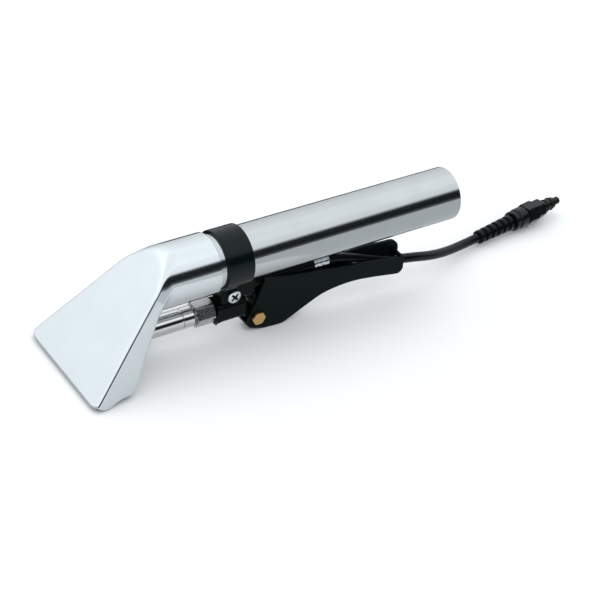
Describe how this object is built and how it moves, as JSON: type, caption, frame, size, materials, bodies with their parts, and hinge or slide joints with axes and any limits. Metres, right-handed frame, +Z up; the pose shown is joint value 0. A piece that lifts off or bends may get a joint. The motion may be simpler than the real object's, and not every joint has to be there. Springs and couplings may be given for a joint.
{
  "type": "extraction hand tool",
  "caption": "Hand-held extraction cleaning tool: flared steel suction head on a steel tube, with a clamped spray valve, squeeze trigger and solution hose.",
  "frame": {"origin": "centre of the tool's footprint box on the surface that it stands on", "axes": "+X from the suction lip towards the tube's tail, +Z up from the surface, -Y the left side of a person holding the tube"},
  "size_m": [0.4538, 0.0926, 0.0923],
  "materials": {
    "brushed_tube": "brushed",
    "polished_steel": "polished",
    "seal_rubber": "matte",
    "clamp_plastic": "satin",
    "zinc_plate": "bright",
    "valve_plastic": "gloss",
    "brass": "satin",
    "bright_steel": "bright",
    "chrome_plate": "bright",
    "trigger_plastic": "matte",
    "hose_rubber": "satin",
    "fitting_plastic": "satin"
  },
  "bodies": {
    "tool": {"suction_tube": "brushed_tube", "neck_collar": "polished_steel", "front_plate": "polished_steel", "left_side_plate": "polished_steel", "right_side_plate": "polished_steel", "suction_back_plate": "polished_steel", "hood_back_plate": "polished_steel", "neck_seal": "seal_rubber", "tube_clamp": "clamp_plastic", "clamp_screw": "zinc_plate", "clamp_nut": "zinc_plate", "valve_body": "valve_plastic", "valve_seat": "brass", "return_spring": "bright_steel", "stem_seal": "seal_rubber", "gland_nut": "valve_plastic", "outlet_nipple": "chrome_plate", "union_seal": "seal_rubber", "union_nut": "chrome_plate", "filter_barrel": "chrome_plate", "filter_screen": "brass", "jet_pipe": "chrome_plate", "nozzle_elbow": "chrome_plate", "nozzle_nut": "brass", "spray_nozzle": "brass", "pivot_bolt": "brass", "pivot_nut": "brass", "inlet_nipple": "valve_plastic", "ferrule": "zinc_plate", "hose": "hose_rubber", "strain_relief": "hose_rubber", "coupling_body": "fitting_plastic", "coupling_nut": "fitting_plastic", "plug_stem": "fitting_plastic", "plug_seals": "seal_rubber"},
    "trigger": {"trigger": "trigger_plastic"},
    "plunger": {"plunger": "bright_steel", "poppet_seal": "seal_rubber"}
  },
  "joints": [
    {"name": "trigger_pivot", "type": "hinge", "parent": "tool", "child": "trigger", "pos_m": [-0.00425, 0, 0.0108], "axis": [0, -1, 0], "range_deg": [0, 4.5], "stiffness_Nm_per_rad": 4, "springref_deg": -11.46},
    {"name": "plunger_slide", "type": "slide", "parent": "tool", "child": "plunger", "axis": [-0.9981, 0, -0.0615], "range_m": [0, 0.0012], "deforming": ["return_spring"]}
  ],
  "couplings": [
    {"joint": "plunger_slide", "follows": "trigger_pivot", "m_per_rad": 0.0135}
  ]
}
